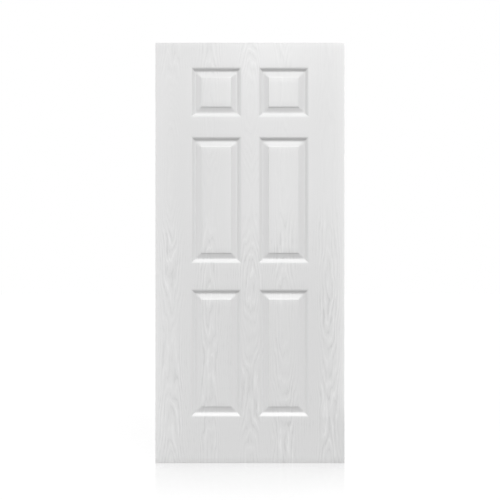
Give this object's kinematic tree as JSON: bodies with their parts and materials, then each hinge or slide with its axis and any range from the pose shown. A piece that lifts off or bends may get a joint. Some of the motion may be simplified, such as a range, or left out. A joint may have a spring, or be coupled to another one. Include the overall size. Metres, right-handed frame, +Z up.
{
  "type": "six-panel hollow core door",
  "caption": "Interior door slab: two white skins moulded with raised panels and embossed wood grain, glued over a slim wood frame with lock blocks and a paper honeycomb core.",
  "frame": {"origin": "middle of the bottom edge, halfway through the thickness", "axes": "+Z up the door, +X towards the right edge seen from the front, front face looks along -Y"},
  "size_m": [0.9144, 0.0348, 2.032],
  "materials": {
    "moulded_skin": "white factory primer on pressed fibreboard with embossed wood grain",
    "frame_wood": "planed softwood, unpainted",
    "lock_block": "sawn softwood offcuts, unpainted",
    "paper_core": "expanded kraft paper honeycomb"
  },
  "bodies": {
    "root": {"bottom_rail": "frame_wood", "core_bottom_rail_left": "paper_core", "core_bottom_rail_right": "paper_core", "core_frieze_rail_left": "paper_core", "core_frieze_rail_right": "paper_core", "core_left_lower": "paper_core", "core_left_upper": "paper_core", "core_lock_rail_left": "paper_core", "core_lock_rail_right": "paper_core", "core_mullion": "paper_core", "core_pad_bottom_left": "paper_core", "core_pad_bottom_right": "paper_core", "core_pad_middle_left": "paper_core", "core_pad_middle_right": "paper_core", "core_pad_top_left": "paper_core", "core_pad_top_right": "paper_core", "core_right_lower": "paper_core", "core_right_upper": "paper_core", "core_top_rail_left": "paper_core", "core_top_rail_right": "paper_core", "front_skin": "moulded_skin", "left_lock_block": "lock_block", "left_stile": "frame_wood", "rear_skin": "moulded_skin", "right_lock_block": "lock_block", "right_stile": "frame_wood", "top_rail": "frame_wood"}
  },
  "joints": []
}
